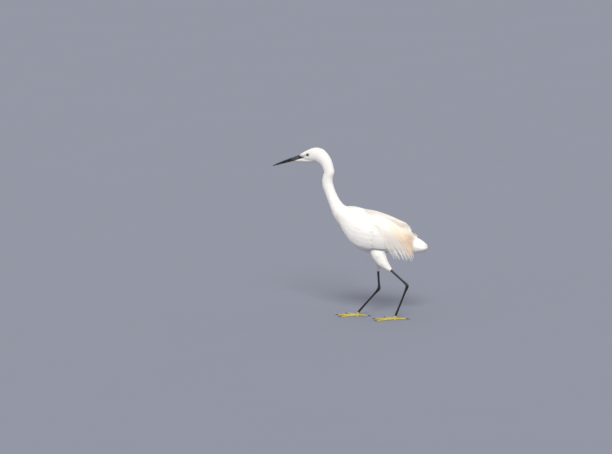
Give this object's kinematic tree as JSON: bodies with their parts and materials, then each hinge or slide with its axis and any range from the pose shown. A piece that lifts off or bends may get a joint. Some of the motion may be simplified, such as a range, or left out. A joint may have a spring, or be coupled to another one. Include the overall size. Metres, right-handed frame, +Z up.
{
  "type": "little egret",
  "caption": "Life-size white wading bird striding with its neck stretched forward, a dagger bill, black legs and yellow feet.",
  "frame": {"origin": "on the floor, under the middle of the bird's box", "axes": "-X is the way the bird faces, -Y is its left side, +Z is up"},
  "size_m": [0.4458, 0.0992, 0.4659],
  "materials": {
    "white_plumage": "soft white feathers",
    "cream_plumes": "fine silky plumes",
    "black_bill": "horn with a soft sheen",
    "black_leg_skin": "scaled skin",
    "yellow_foot_skin": "scaled skin",
    "dark_claw": "horn",
    "eye": "wet and clear"
  },
  "bodies": {
    "root": {"head": "white_plumage", "eye_left": "eye", "eye_right": "eye", "bill_upper": "black_bill", "bill_lower": "black_bill", "neck_upper": "white_plumage", "neck_middle": "white_plumage", "neck_lower": "white_plumage", "torso": "white_plumage", "wing_left": "white_plumage", "wing_right": "white_plumage", "back_plumes": "cream_plumes", "tail": "white_plumage", "thigh_left": "white_plumage", "thigh_right": "white_plumage", "shin_left": "black_leg_skin", "shin_right": "black_leg_skin", "shank_left": "black_leg_skin", "shank_right": "black_leg_skin", "foot_left": "yellow_foot_skin", "foot_right": "yellow_foot_skin", "claw_left_inner": "dark_claw", "claw_left_middle": "dark_claw", "claw_left_outer": "dark_claw", "claw_left_hind": "dark_claw", "claw_right_inner": "dark_claw", "claw_right_middle": "dark_claw", "claw_right_outer": "dark_claw", "claw_right_hind": "dark_claw"}
  },
  "joints": []
}
